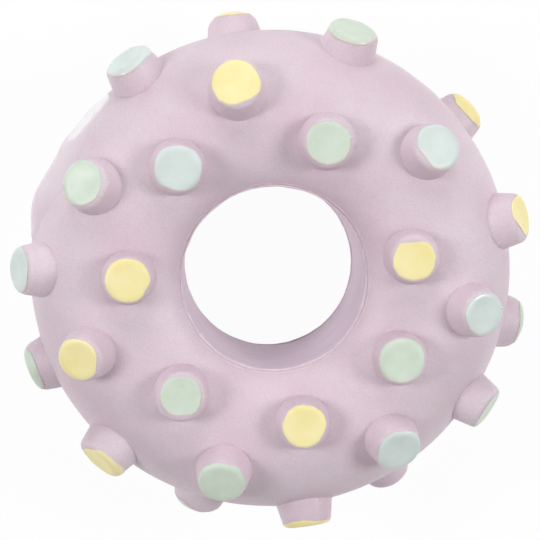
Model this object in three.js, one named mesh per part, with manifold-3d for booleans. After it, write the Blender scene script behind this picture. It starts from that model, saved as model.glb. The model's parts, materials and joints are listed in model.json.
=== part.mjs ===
// A soft donut dog toy: a hollow latex ring with painted nubs, stuffed with wadding around a squeaker.
// Millimetres and degrees. The ring's axis is +Z, and the toy lies on its back row of nubs at z = 0.

import * as THREE from 'three';
import { mergeVertices } from 'three/addons/utils/BufferGeometryUtils.js';
import Module from 'manifold-3d';

const wasm = await Module();
wasm.setup();

// Ring: a round tube bent into a donut, with a nearly straight wall in its hole, a little narrower at the back
const RING_RADIUS = 24;
const TUBE_RADIUS = 12.5;
const HOLE_RADIUS = 13.3;
const CREASE_RADIUS = 13.9;
const BACK_CREASE_RADIUS = 13.1;
const CREASE_HEIGHT = 8.8;
const SHOULDER_LENGTH = 5.5;
const CREASE_LEAD_OUT = 1.6;
const CREASE_LEAD_UP = 2.2;
const SKIN_WALL = 1.6;

// Nubs: solid pegs cast with the skin, flared at the foot
const NUB_HEIGHT = 2.9;
const NUB_TIP_RADIUS = 3.6;
const NUB_ROOT_RADIUS = 4.1;
const NUB_FOOT_RADIUS = 4.9;
const NUB_FLARE_HEIGHT = 0.6;
const NUB_FOOT_DEPTH = 1.3;
const NUB_EDGE = 0.4;

// Paint: a thick dab on the end of each nub
const PAINT_RADIUS = 3.4;
const PAINT_THICKNESS = 0.3;

// Clearances: between touching pieces, and between the small plastic pieces of the squeaker
const SEAT_GAP = 0.3;
const SQUEAKER_FIT = 0.15;

// Filler hole in the rim, and the latex patch that seals it
const FILLER_TURN = 150;
const FILLER_PERCH = -13;
const FILLER_RADIUS = 6;
const PATCH_HALF_LENGTH = 13;
const PATCH_HALF_WIDTH = 9.5;
const PATCH_THICKNESS = 0.6;

// Squeaker: a plastic bulb with a whistle in its neck, lying in the wadding under the filler hole
const SQUEAKER_DEPTH = 3;
const BULB_RADIUS = 7.5;
const BULB_LENGTH = 12;
const BULB_ROUNDING = 3;
const BULB_WALL = 0.7;
const NECK_LENGTH = 3;
const WHISTLE_BORE = 2.5;
const WHISTLE_WALL = 0.7;
const WHISTLE_LENGTH = 7;
const FLANGE_THICKNESS = 0.6;
const REED_WIDTH = 3.2;
const REED_LENGTH = 6;
const REED_THICKNESS = 0.25;
const CLAMP_LENGTH = 1.2;
const GROOVE_WIDTH = 1.4;
const GROOVE_DEPTH = 1.1;

// Rows of nubs from the front edge of the hole, over the rim, to the back edge of the hole.
// Each nub has its turn around the ring, its perch around the tube (0 at the rim, 90 at the front) and its paint.
// The nubs beside the hole stand straight up, as the toy lies on the ones at the back.
const REST_PERCH = -100;
const NUB_ROWS = [
  {
    name: 'front_inner',
    lean: 90,
    nubs: [
      [10, 106, 'yellow'], [70, 99, 'green'], [130, 98, 'aqua'], [178, 101, 'yellow'],
      [230, 101, 'green'], [281, 101, 'yellow'], [328, 100, 'green'],
    ],
  },
  {
    name: 'front_outer',
    nubs: [
      [40, 64, 'aqua'], [101, 68, 'yellow'], [152, 61, 'green'], [201, 64, 'yellow'],
      [255, 64, 'green'], [306, 63, 'aqua'], [351, 63, 'aqua'],
    ],
  },
  {
    name: 'front_rim',
    nubs: [
      [13, 25, 'yellow'], [71.5, 21, 'green'], [124, 19, 'aqua'], [178, 30, 'aqua'],
      [226.7, 24, 'yellow'], [278, 12, 'yellow'], [327.5, 21, 'green'],
    ],
  },
  {
    name: 'back_rim',
    nubs: [
      [38.3, -20, 'yellow'], [98.5, -25, 'yellow'], [202.8, -8, 'green'],
      [253, -20, 'aqua'], [299.6, -23, 'yellow'], [346.5, -14, 'green'],
    ],
  },
  {
    name: 'back_outer',
    nubs: [
      [13, -60, 'aqua'], [72, -60, 'yellow'], [124, -60, 'green'], [178, -60, 'aqua'],
      [227, -60, 'yellow'], [278, -60, 'green'], [327, -60, 'yellow'],
    ],
  },
  {
    name: 'back_inner',
    lean: -90,
    nubs: [
      [40, REST_PERCH, 'green'], [101, REST_PERCH, 'aqua'], [152, REST_PERCH, 'yellow'],
      [201, REST_PERCH, 'green'], [255, REST_PERCH, 'aqua'], [306, REST_PERCH, 'yellow'],
      [351, REST_PERCH, 'green'],
    ],
  },
];

// Facets
const OUTER_DETAIL = 4;
const INNER_DETAIL = 3;
const OUTER_SIDES = 56;
const INNER_SIDES = 40;
const NUB_SIDES = 12;
const TURNED_SIDES = 16;
const ARC_STEPS = 2;

const MATERIALS = {
  latex: new THREE.MeshStandardMaterial({ color: 0xdcc9d3, roughness: 0.62 }),
  patch: new THREE.MeshStandardMaterial({ color: 0xeee6ea, roughness: 0.25 }),
  wadding: new THREE.MeshStandardMaterial({ color: 0xf2f0ec, roughness: 1 }),
  bulb: new THREE.MeshStandardMaterial({ color: 0xf0efe8, roughness: 0.45 }),
  whistle: new THREE.MeshStandardMaterial({ color: 0xe8e6df, roughness: 0.4 }),
  reed: new THREE.MeshStandardMaterial({ color: 0xc9ccd0, roughness: 0.3 }),
  yellow: new THREE.MeshStandardMaterial({ color: 0xf8ebae, roughness: 0.45 }),
  green: new THREE.MeshStandardMaterial({ color: 0xd0decd, roughness: 0.45 }),
  aqua: new THREE.MeshStandardMaterial({ color: 0xd6e3df, roughness: 0.45 }),
};

const radians = THREE.MathUtils.degToRad;
const point = (x, y) => new THREE.Vector2(x, y);

// Turns a profile of (radius, height) points around +Z.
function turned(profile, sides) {
  return new THREE.LatheGeometry(profile, sides).rotateX(Math.PI / 2);
}

// A closed three.js geometry as a solid that can be joined and cut.
function solidOf(geometry) {
  const bare = geometry.clone();
  bare.deleteAttribute('normal');
  bare.deleteAttribute('uv');
  const merged = mergeVertices(bare);
  return new wasm.Manifold(new wasm.Mesh({
    numProp: 3,
    vertProperties: new Float32Array(merged.attributes.position.array),
    triVerts: new Uint32Array(merged.index.array),
  }));
}

// A joined or cut solid as a three.js geometry.
function geometryOf(solid) {
  const mesh = solid.getMesh();
  const geometry = new THREE.BufferGeometry();
  geometry.setAttribute('position', new THREE.BufferAttribute(mesh.vertProperties, 3));
  geometry.setIndex(new THREE.BufferAttribute(mesh.triVerts, 1));
  return geometry;
}

// The frame of a place on the tube: its origin on the surface, its +Z along the lean.
function perchMatrix(turn, perch, lean = perch) {
  const out = RING_RADIUS + TUBE_RADIUS * Math.cos(radians(perch));
  const up = TUBE_RADIUS * Math.sin(radians(perch));
  return new THREE.Matrix4().makeRotationZ(radians(turn))
    .multiply(new THREE.Matrix4().makeTranslation(out, 0, up))
    .multiply(new THREE.Matrix4().makeRotationY(radians(90 - lean)));
}

// The closed outline of the tube's section, drawn in from the outside of the skin by an inset.
function ringProfile(inset, detail) {
  const tube = TUBE_RADIUS - inset;
  const front = CREASE_RADIUS + inset;
  const back = BACK_CREASE_RADIUS + inset;
  const edge = CREASE_HEIGHT - inset;
  const lead = edge + CREASE_LEAD_UP;
  const shoulder = RING_RADIUS - SHOULDER_LENGTH;
  const wallPull = 2 * (HOLE_RADIUS + inset) - (front + back) / 2;
  const outline = new THREE.Path();
  outline.absarc(RING_RADIUS, 0, tube, -Math.PI / 2, Math.PI / 2, false);
  outline.bezierCurveTo(shoulder, tube, front + CREASE_LEAD_OUT, lead, front, edge);
  outline.quadraticCurveTo(wallPull, 0, back, -edge);
  outline.bezierCurveTo(back + CREASE_LEAD_OUT, -lead, shoulder, -tube, RING_RADIUS, -tube);
  return outline.getPoints(detail);
}

function ringSolid(inset, detail, sides) {
  return solidOf(turned(ringProfile(inset, detail), sides));
}

// One nub, standing on the tube's surface with its foot sunk in the wall.
function nubGeometry() {
  return turned([
    point(0, -NUB_FOOT_DEPTH),
    point(NUB_FOOT_RADIUS, -NUB_FOOT_DEPTH),
    point(NUB_ROOT_RADIUS, NUB_FLARE_HEIGHT),
    point(NUB_TIP_RADIUS, NUB_HEIGHT - NUB_EDGE),
    point(NUB_TIP_RADIUS - NUB_EDGE, NUB_HEIGHT),
    point(0, NUB_HEIGHT),
  ], NUB_SIDES);
}

// The paint on a nub's end.
function paintGeometry() {
  const base = NUB_HEIGHT + SEAT_GAP;
  return turned([
    point(0, base),
    point(PAINT_RADIUS, base),
    point(PAINT_RADIUS, base + PAINT_THICKNESS),
    point(0, base + PAINT_THICKNESS),
  ], NUB_SIDES);
}

// A round plug along the filler hole's axis, from one height to another.
function fillerPlug(radius, from, to) {
  return turned([point(0, from), point(radius, from), point(radius, to), point(0, to)], TURNED_SIDES);
}

// Heights of the squeaker along the filler hole's axis, from the tube's surface
const flangeTop = -SQUEAKER_DEPTH;
const flangeBottom = flangeTop - FLANGE_THICKNESS;
const neckTop = flangeBottom - SQUEAKER_FIT;
const bulbTop = neckTop - NECK_LENGTH;
const bulbBottom = bulbTop - BULB_LENGTH;
const whistleRadius = WHISTLE_BORE + WHISTLE_WALL;
const neckBore = whistleRadius + SQUEAKER_FIT;
const neckRadius = neckBore + BULB_WALL;
const reedTop = flangeTop - SEAT_GAP;
const clampBottom = reedTop - CLAMP_LENGTH;

// The rounded side of the bulb from its bottom to its shoulder, grown by a margin.
function bulbSide(margin) {
  const radius = BULB_RADIUS + margin;
  const rounding = BULB_ROUNDING + margin;
  const side = new THREE.Path();
  side.absarc(radius - rounding, bulbBottom - margin + rounding, rounding, -Math.PI / 2, 0, false);
  side.absarc(radius - rounding, bulbTop + margin - rounding, rounding, 0, Math.PI / 2, false);
  return side.getPoints(ARC_STEPS);
}

function bulbGeometry() {
  const outside = bulbSide(0);
  const inside = bulbSide(-BULB_WALL).reverse();
  return turned([
    point(0, bulbBottom),
    ...outside,
    point(neckRadius, bulbTop),
    point(neckRadius, neckTop),
    point(neckBore, neckTop),
    point(neckBore, bulbTop - BULB_WALL),
    ...inside,
    point(0, bulbBottom + BULB_WALL),
  ], TURNED_SIDES);
}

function whistleGeometry() {
  const bottom = flangeTop - WHISTLE_LENGTH;
  return turned([
    point(WHISTLE_BORE, bottom),
    point(whistleRadius, bottom),
    point(whistleRadius, flangeBottom),
    point(neckRadius, flangeBottom),
    point(neckRadius, flangeTop),
    point(WHISTLE_BORE, flangeTop),
    point(WHISTLE_BORE, bottom),
  ], TURNED_SIDES);
}

// Half of a round bar in the whistle's bore, with its flat face a fit away from the reed.
function halfRound(length, groove) {
  const radius = WHISTLE_BORE - SQUEAKER_FIT;
  const flat = REED_THICKNESS / 2 + SQUEAKER_FIT;
  const from = Math.asin(flat / radius);
  const shape = new THREE.Shape();
  shape.absarc(0, 0, radius, from, Math.PI - from, false);
  if (groove) {
    shape.lineTo(-GROOVE_WIDTH / 2, flat);
    shape.lineTo(-GROOVE_WIDTH / 2, flat + GROOVE_DEPTH);
    shape.lineTo(GROOVE_WIDTH / 2, flat + GROOVE_DEPTH);
    shape.lineTo(GROOVE_WIDTH / 2, flat);
  }
  shape.closePath();
  const bar = new THREE.ExtrudeGeometry(shape, { depth: length, bevelEnabled: false, curveSegments: ARC_STEPS });
  return bar.translate(0, 0, reedTop - length);
}

function reedSeatGeometry() {
  return halfRound(REED_LENGTH, true).rotateZ(Math.PI);
}

function reedClampGeometry() {
  return halfRound(CLAMP_LENGTH, false);
}

function reedGeometry() {
  const reed = new THREE.BoxGeometry(REED_WIDTH, REED_THICKNESS, REED_LENGTH);
  return reed.translate(0, 0, reedTop - REED_LENGTH / 2);
}

const toy = new THREE.Group();
toy.position.z = NUB_HEIGHT + SEAT_GAP + PAINT_THICKNESS - TUBE_RADIUS * Math.sin(radians(REST_PERCH));

function place(name, geometry, material, matrix = new THREE.Matrix4()) {
  const mesh = new THREE.Mesh(geometry, MATERIALS[material]);
  mesh.name = name;
  mesh.applyMatrix4(matrix);
  toy.add(mesh);
}

const fillerMatrix = perchMatrix(FILLER_TURN, FILLER_PERCH);

function skinGeometry() {
  const nub = nubGeometry();
  let skin = ringSolid(0, OUTER_DETAIL, OUTER_SIDES);
  for (const { lean, nubs } of NUB_ROWS) {
    for (const [turn, perch] of nubs) {
      skin = skin.add(solidOf(nub.clone().applyMatrix4(perchMatrix(turn, perch, lean))));
    }
  }
  const mouth = fillerPlug(FILLER_RADIUS, -SQUEAKER_DEPTH, NUB_HEIGHT).applyMatrix4(fillerMatrix);
  return geometryOf(skin.subtract(ringSolid(SKIN_WALL, INNER_DETAIL, INNER_SIDES)).subtract(solidOf(mouth)));
}

// The wadding fills the skin and leaves a pocket for the squeaker, open towards the filler hole.
function waddingGeometry() {
  const pocket = turned([
    point(0, bulbBottom - SEAT_GAP),
    ...bulbSide(SEAT_GAP),
    point(FILLER_RADIUS, bulbTop + SEAT_GAP),
    point(FILLER_RADIUS, NUB_HEIGHT),
    point(0, NUB_HEIGHT),
  ], TURNED_SIDES).applyMatrix4(fillerMatrix);
  return geometryOf(ringSolid(SKIN_WALL + SEAT_GAP, INNER_DETAIL, INNER_SIDES).subtract(solidOf(pocket)));
}

// The patch is an oval piece of a shell that lies over the skin.
function patchGeometry() {
  const oval = new THREE.Shape();
  oval.absellipse(0, 0, PATCH_HALF_WIDTH, PATCH_HALF_LENGTH, 0, 2 * Math.PI);
  const cutter = new THREE.ExtrudeGeometry(oval, {
    depth: 2 * TUBE_RADIUS,
    bevelEnabled: false,
    curveSegments: TURNED_SIDES / 2,
  }).translate(0, 0, -TUBE_RADIUS).applyMatrix4(fillerMatrix);
  const shell = ringSolid(-SEAT_GAP - PATCH_THICKNESS, OUTER_DETAIL, OUTER_SIDES)
    .subtract(ringSolid(-SEAT_GAP, OUTER_DETAIL, OUTER_SIDES));
  return geometryOf(shell.intersect(solidOf(cutter)));
}

place('latex_skin', skinGeometry(), 'latex');
place('polyester_wadding', waddingGeometry(), 'wadding');
place('filler_patch', patchGeometry(), 'patch');
place('squeaker_bulb', bulbGeometry(), 'bulb', fillerMatrix);
place('whistle_tube', whistleGeometry(), 'whistle', fillerMatrix);
place('reed_seat', reedSeatGeometry(), 'whistle', fillerMatrix);
place('reed_clamp', reedClampGeometry(), 'whistle', fillerMatrix);
place('squeaker_reed', reedGeometry(), 'reed', fillerMatrix);

const paint = paintGeometry();
for (const { name, lean, nubs } of NUB_ROWS) {
  nubs.forEach(([turn, perch, colour], index) => {
    place(`${name}_tip_${index + 1}`, paint, colour, perchMatrix(turn, perch, lean));
  });
}

export default toy;
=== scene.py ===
"""A soft latex donut dog toy with painted nubs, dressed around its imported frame."""

from __future__ import annotations

import json
import logging
import math
import random
from contextlib import contextmanager
from dataclasses import dataclass, field
from enum import Enum
from typing import Callable, Iterator

import bpy
import numpy as np
from mathutils import Matrix, Vector, noise


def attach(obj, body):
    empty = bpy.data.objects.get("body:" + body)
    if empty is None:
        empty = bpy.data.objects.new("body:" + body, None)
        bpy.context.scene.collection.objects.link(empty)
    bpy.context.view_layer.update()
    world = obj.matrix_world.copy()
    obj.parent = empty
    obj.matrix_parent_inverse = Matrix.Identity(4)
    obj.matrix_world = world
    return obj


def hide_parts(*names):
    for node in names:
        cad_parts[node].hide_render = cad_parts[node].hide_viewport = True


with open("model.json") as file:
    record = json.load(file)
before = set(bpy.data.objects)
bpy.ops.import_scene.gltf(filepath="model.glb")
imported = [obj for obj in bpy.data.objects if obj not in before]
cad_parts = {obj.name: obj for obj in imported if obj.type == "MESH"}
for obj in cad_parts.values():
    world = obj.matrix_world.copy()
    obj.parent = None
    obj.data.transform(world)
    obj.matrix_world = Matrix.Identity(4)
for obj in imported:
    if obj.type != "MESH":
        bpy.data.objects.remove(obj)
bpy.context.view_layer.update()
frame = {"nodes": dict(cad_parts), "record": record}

LOG = logging.getLogger("donut_toy")
TOY_BODY = "toy"
MM = 0.001
SAME_PLACE = 0.001 * MM
END_FACE = 0.9
EDGE_ANGLE = math.radians(35)
NOISE_RANGE = (0.3, 0.7)
CLOUD_RANGE = (0.35, 0.7)
# Closing-in values that give none and all of the painted corner shade.
CORNER_SHADE_RANGE = (0.95, 0.4)
SPOT_CORE = 0.4

Piece = bpy.types.Object
Material = bpy.types.Material
Socket = bpy.types.NodeSocket
Colour = tuple[int, int, int]
Range = tuple[float, float]
Triple = tuple[float, float, float]
Outline = list[tuple[float, float]]


class Paint(Enum):
    """The paints on the nub ends, by the record's material slot."""

    YELLOW = "yellow_paint"
    GREEN = "green_paint"
    AQUA = "aqua_paint"


class Side(Enum):
    """The two faces of the ring."""

    FRONT = 1.0
    BACK = -1.0


def linear(colour: Colour) -> tuple[float, float, float, float]:
    """Turns a colour as a screen shows it into the linear values that shaders take.

    Args:
        colour: Red, green and blue from 0 to 255.

    Returns:
        Linear red, green and blue, and full alpha.
    """
    channels = []
    for value in colour:
        share = value / 255
        channels.append(share / 12.92 if share <= 0.04045 else ((share + 0.055) / 1.055) ** 2.4)
    return (*channels, 1.0)


def soft_least(first: float, second: float, width: float) -> float:
    """Gives the smaller of two lengths, rounded off over a width where they meet."""
    share = max(0.0, min(1.0, 0.5 + 0.5 * (second - first) / width))
    return second * (1 - share) + first * share - width * share * (1 - share)


def on_circle(turn: float, radius: float, height: float) -> Vector:
    """Gives the point at a turn around +Z, a radius from it and a height along it."""
    return Vector((radius * math.cos(turn), radius * math.sin(turn), height))


def select_only(*pieces: Piece) -> None:
    """Deselects everything, then selects some pieces and makes the first one active.

    Args:
        *pieces: The objects to work on.
    """
    bpy.ops.object.select_all(action="DESELECT")
    for piece in pieces:
        piece.select_set(True)
    bpy.context.view_layer.objects.active = pieces[0]


@contextmanager
def edit_mode(piece: Piece) -> Iterator[None]:
    """Opens a piece in edit mode with all of its mesh selected, and closes it again.

    Args:
        piece: The mesh object to edit.

    Yields:
        Nothing.
    """
    select_only(piece)
    bpy.ops.object.mode_set(mode="EDIT")
    bpy.ops.mesh.select_all(action="SELECT")
    yield
    bpy.ops.object.mode_set(mode="OBJECT")


def pick(piece: Piece, kind: str, wanted: Callable[..., bool]) -> None:
    """Selects the points or faces of a piece in edit mode that pass a test.

    Args:
        piece: The piece in edit mode.
        kind: VERT or FACE.
        wanted: A test of one point or face.
    """
    bpy.ops.mesh.select_mode(type=kind)
    bpy.ops.mesh.select_all(action="DESELECT")
    bpy.ops.object.mode_set(mode="OBJECT")
    for element in piece.data.vertices if kind == "VERT" else piece.data.polygons:
        element.select = wanted(element)
    bpy.ops.object.mode_set(mode="EDIT")


def new_piece(add: Callable[..., set], name: str, **sizes: object) -> Piece:
    """Adds a primitive as the start of a new piece, with its place in its mesh.

    Args:
        add: The operator that adds the primitive.
        name: The new piece's name.
        **sizes: The operator's sizes and place.

    Returns:
        The new piece.
    """
    bpy.ops.object.select_all(action="DESELECT")
    add(**sizes)
    piece = bpy.context.active_object
    piece.name = name
    piece.data.name = name
    bpy.ops.object.transform_apply(location=True, rotation=True, scale=True)
    return piece


def finish_with(piece: Piece, kind: str, **settings: object) -> None:
    """Adds one modifier to a piece, sets it and applies it.

    Args:
        piece: The mesh object.
        kind: The modifier's type.
        **settings: Values for the modifier's properties.
    """
    select_only(piece)
    bpy.ops.object.modifier_add(type=kind)
    modifier = piece.modifiers[-1]
    for key, value in settings.items():
        setattr(modifier, key, value)
    bpy.ops.object.modifier_apply(modifier=modifier.name)


def combine(piece: Piece, operation: str, other: Piece) -> None:
    """Joins another closed mesh to a piece or cuts it out of the piece, and removes it."""
    finish_with(piece, "BOOLEAN", operation=operation, solver="EXACT", object=other)
    bpy.data.objects.remove(other)


def close_up(piece: Piece) -> None:
    """Merges a piece's doubled points and turns its faces outwards.

    Args:
        piece: The mesh object.
    """
    with edit_mode(piece):
        bpy.ops.mesh.remove_doubles(threshold=SAME_PLACE)
        bpy.ops.mesh.normals_make_consistent(inside=False)


def spun(name: str, outline: Outline, steps: int) -> Piece:
    """Models the closed form that an outline sweeps around +Z.

    Args:
        name: The new piece's name.
        outline: Points by their distance from the axis and their height.
        steps: How many steps go round.

    Returns:
        The turned form.
    """
    piece = new_piece(bpy.ops.mesh.primitive_circle_add, name, vertices=len(outline), radius=MM,
                      fill_type="NOTHING")
    for vertex, (out, up) in zip(piece.data.vertices, outline):
        vertex.co = (out, 0, up)
    with edit_mode(piece):
        bpy.ops.mesh.spin(steps=steps, angle=2 * math.pi, center=(0, 0, 0), axis=(0, 0, 1))
    close_up(piece)
    return piece


def roughen(piece: Piece, name: str, size: float, strength: float, level: float = 0.5) -> None:
    """Moves a piece's surface in and out in soft lumps.

    Args:
        piece: The mesh object.
        name: A name for the lumps.
        size: How large a lump is.
        strength: How far apart the lowest and highest places are.
        level: The lumps' value, from 0 to 1, that leaves the surface where it is.
    """
    texture = bpy.data.textures.new(name, "CLOUDS")
    texture.noise_scale = size
    finish_with(piece, "DISPLACE", texture=texture, strength=strength, mid_level=level,
                texture_coords="LOCAL")


def smooth_shaded(piece: Piece) -> None:
    """Shades a piece smooth all over."""
    select_only(piece)
    bpy.ops.object.shade_smooth()


def crisp_shaded(piece: Piece) -> None:
    """Shades a piece smooth except across its edges."""
    select_only(piece)
    bpy.ops.object.shade_smooth_by_angle(angle=EDGE_ANGLE)


def dress(piece: Piece, material: Material) -> None:
    """Gives a piece one material."""
    piece.data.materials.clear()
    piece.data.materials.append(material)


def keep(piece: Piece, material: Material, slot: str, *nodes: str) -> None:
    """Dresses a finished piece and lets it ride on the toy, in place of the solids that it stands for.

    Args:
        piece: The finished mesh object.
        material: Its material.
        slot: The record's material slot; not used.
        *nodes: Names of the solids that it replaces.
    """
    dress(piece, material)
    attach(piece, TOY_BODY)
    if nodes:
        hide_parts(*nodes)
    LOG.info("%s: %d faces", piece.name, len(piece.data.polygons))


class Shader:
    """A node material that is built up from its Principled shader."""

    def __init__(self, name: str) -> None:
        """Starts a material with an empty Principled shader.

        Args:
            name: The material's name.
        """
        self.material = bpy.data.materials.new(name)
        self.material.use_nodes = True
        self.tree = self.material.node_tree
        self.surface = self.tree.nodes["Principled BSDF"]
        self.place = self.tree.nodes.new("ShaderNodeTexCoord").outputs["Object"]

    def node(self, kind: str, inputs: dict, **settings: object) -> bpy.types.Node:
        """Adds a node.

        Args:
            kind: The node's type.
            inputs: Values or sockets for its inputs, by name or number.
            **settings: Values for its properties.

        Returns:
            The new node.
        """
        made = self.tree.nodes.new(kind)
        for key, value in settings.items():
            setattr(made, key, value)
        for key, value in inputs.items():
            self.feed(made.inputs[key], value)
        return made

    def feed(self, socket: Socket, value: object) -> None:
        """Links a socket to an output, or sets its value.

        Args:
            socket: The input.
            value: An output socket, or a number or colour.
        """
        if isinstance(value, Socket):
            self.tree.links.new(value, socket)
        else:
            socket.default_value = value

    def set(self, **values: object) -> None:
        """Feeds the Principled shader's inputs, with _ for the spaces in their names."""
        for key, value in values.items():
            self.feed(self.surface.inputs[key.replace("_", " ")], value)

    def grain(self, scale: float, detail: float = 3.0, stretch: Triple = (1, 1, 1)) -> Socket:
        """Adds a soft noise over the piece.

        Args:
            scale: How many lumps fit in a metre.
            detail: How many finer layers it has.
            stretch: How much finer the noise is along each axis.

        Returns:
            The noise's value, from 0 to 1.
        """
        place = self.node("ShaderNodeMapping", {"Vector": self.place, "Scale": stretch}).outputs["Vector"]
        lumps = {"Vector": place, "Scale": scale, "Detail": detail}
        return self.node("ShaderNodeTexNoise", lumps).outputs["Fac"]

    def clouds(self, scale: float) -> Socket:
        """Adds soft clouds that reach from 0 to 1, so many in a metre."""
        return self.ramp(self.grain(scale), *CLOUD_RANGE)

    def spots(self, scale: float, size: float) -> Socket:
        """Scatters so many round spots in a metre, with a radius that is a share of their spacing."""
        cells = self.node("ShaderNodeTexVoronoi", {"Vector": self.place, "Scale": scale})
        return self.ramp(cells.outputs["Distance"], size, size * SPOT_CORE)

    def vector(self, operation: str, *values: object) -> bpy.types.Node:
        """Reckons with vectors."""
        return self.node("ShaderNodeVectorMath", dict(enumerate(values)), operation=operation)

    def from_axis(self) -> Socket:
        """Finds how far a point is from the ring's axis."""
        flat = self.vector("MULTIPLY", self.place, (1, 1, 0))
        return self.vector("LENGTH", flat.outputs[0]).outputs["Value"]

    def from_oval(self, oval: Matrix, half_width: float, half_length: float) -> Socket:
        """Finds how far a place is from the middle of an oval, as a share of its size.

        Args:
            oval: The oval's frame, with +X across it and +Y along it.
            half_width: Half of its width.
            half_length: Half of its length.

        Returns:
            0 in the middle and 1 on the border.
        """
        away = self.vector("SUBTRACT", self.place, oval.translation).outputs[0]
        across = self.vector("DOT_PRODUCT", away, oval.col[0].to_3d() / half_width)
        along = self.vector("DOT_PRODUCT", away, oval.col[1].to_3d() / half_length)
        both = self.node("ShaderNodeCombineXYZ", {"X": across.outputs["Value"], "Y": along.outputs["Value"]})
        return self.vector("LENGTH", both.outputs[0]).outputs["Value"]

    def on_sheet(self) -> tuple[Socket, Socket]:
        """Finds where a point lies across and along the sheet that a piece was spread from, from -1 to 1."""
        flat = self.node("ShaderNodeSeparateXYZ", {0: self.node("ShaderNodeUVMap", {}).outputs["UV"]})
        return tuple(self.ramp(flat.outputs[name], 0.0, 1.0, -1.0, 1.0) for name in "XY")

    def tucked_in(self, distance: float) -> Socket:
        """Finds how much the piece's own forms close a place in, 0 on open ground and 1 in a deep corner, as
        the mask of painted corner shade.
        """
        shade = self.node("ShaderNodeAmbientOcclusion", {"Distance": distance}, samples=8, only_local=True)
        return self.ramp(shade.outputs["AO"], *CORNER_SHADE_RANGE)

    def ramp(self, value: Socket, low: float, high: float, first: float = 0.0, last: float = 1.0) -> Socket:
        """Spreads a value from low to high over the range from first to last."""
        inputs = {"Value": value, "From Min": low, "From Max": high, "To Min": first, "To Max": last}
        return self.node("ShaderNodeMapRange", inputs).outputs["Result"]

    def math(self, operation: str, *values: object) -> Socket:
        """Reckons with numbers."""
        return self.node("ShaderNodeMath", dict(enumerate(values)), operation=operation).outputs[0]

    def blend(self, share: Socket, first: object, second: object) -> Socket:
        """Mixes two colours, each a socket or a colour as a screen shows it, by the share of the second."""
        first, second = (linear(value) if isinstance(value, tuple) else value for value in (first, second))
        return self.node("ShaderNodeMix", {0: share, 6: first, 7: second}, data_type="RGBA").outputs[2]

    def bump(self, height: Socket, depth: float, under: Socket | None = None) -> Socket:
        """Adds relief.

        Args:
            height: The relief's height from 0 to 1.
            depth: What a height of 1 measures in metres.
            under: The normal of coarser relief under it.

        Returns:
            The bumped normal.
        """
        inputs = {"Height": height, "Distance": depth, "Strength": 1.0}
        if under is not None:
            inputs["Normal"] = under
        return self.node("ShaderNodeBump", inputs).outputs["Normal"]


@dataclass(frozen=True)
class LatexFinish:
    """Satin cast latex with cloudy colour, fine pores, a few pale specks, and painted shade in its corners
    and on the hole's wall.
    """

    colour: Colour = (216, 197, 207)
    pale: Colour = (222, 208, 216)
    # Deeper pink for the random mottle and for the painted shade in corners.
    tucked: Colour = (201, 164, 184)
    # Colours of the hole's wall, darker and bluer than the body as painted shade, with streaks between them.
    wall: Colour = (213, 195, 208)
    wall_dark: Colour = (203, 184, 199)
    bubble: Colour = (243, 236, 240)
    wall_start: float = 14.1 * MM
    wall_end: float = 13.75 * MM
    clouds_per_metre: float = 110.0
    mottle_per_metre: float = 4200.0
    mottle_range: Range = (0.4, 0.75)
    streaks_per_metre: float = 160.0
    streak_range: Range = (0.35, 0.75)
    streak_stretch: Triple = (1, 1, 6)
    bubbles_per_metre: float = 330.0
    bubble_range: Range = (0.55, 0.75)
    bubble_size: float = 0.06
    pores_per_metre: float = 900.0
    pore_size: float = 0.1
    # Reach and strength of the painted shade in corners.
    corner: float = 1.0 * MM
    corner_tint: float = 0.1
    mottle_tint: float = 0.35
    mottle_depth: float = 0.08 * MM
    pore_depth: float = 0.03 * MM
    roughness: Range = (0.46, 0.58)

    def material(self) -> Material:
        """Builds the node material.

        Returns:
            The material.
        """
        shader = Shader("lilac_latex")
        clouds = shader.clouds(self.clouds_per_metre)
        mottle = shader.grain(self.mottle_per_metre)
        body = shader.blend(clouds, self.colour, self.pale)
        body = shader.blend(shader.ramp(mottle, *self.mottle_range, 0.0, self.mottle_tint), body, self.tucked)
        # Painted shade: the hole's wall is coloured darker and bluer than the body, with streaks along it.
        streaks = shader.grain(self.streaks_per_metre, detail=4.0, stretch=self.streak_stretch)
        wall = shader.blend(shader.ramp(streaks, *self.streak_range), self.wall, self.wall_dark)
        body = shader.blend(shader.ramp(shader.from_axis(), self.wall_start, self.wall_end), body, wall)
        # Painted shade: corners that the skin closes in on itself, such as the nubs' roots, darken towards a
        # deeper pink.
        corners = shader.ramp(shader.tucked_in(self.corner), 0.0, 1.0, 0.0, self.corner_tint)
        body = shader.blend(corners, body, self.tucked)
        # Pale specks in the paler clouds, given as colour only, with no relief under them.
        pale_specks = shader.spots(self.bubbles_per_metre, self.bubble_size)
        pale_specks = shader.math("MULTIPLY", pale_specks, shader.ramp(clouds, *self.bubble_range))
        shader.set(Base_Color=shader.blend(pale_specks, body, self.bubble))
        shader.set(Roughness=shader.ramp(mottle, *NOISE_RANGE, *self.roughness))
        relief = shader.bump(mottle, self.mottle_depth)
        pores = shader.spots(self.pores_per_metre, self.pore_size)
        shader.set(Normal=shader.bump(pores, -self.pore_depth, relief))
        shader.set(Subsurface_Weight=0.22, Subsurface_Radius=(1.0, 0.4, 0.6), Subsurface_Scale=2.5 * MM)
        shader.set(Specular_IOR_Level=0.75)
        return shader.material


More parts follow.
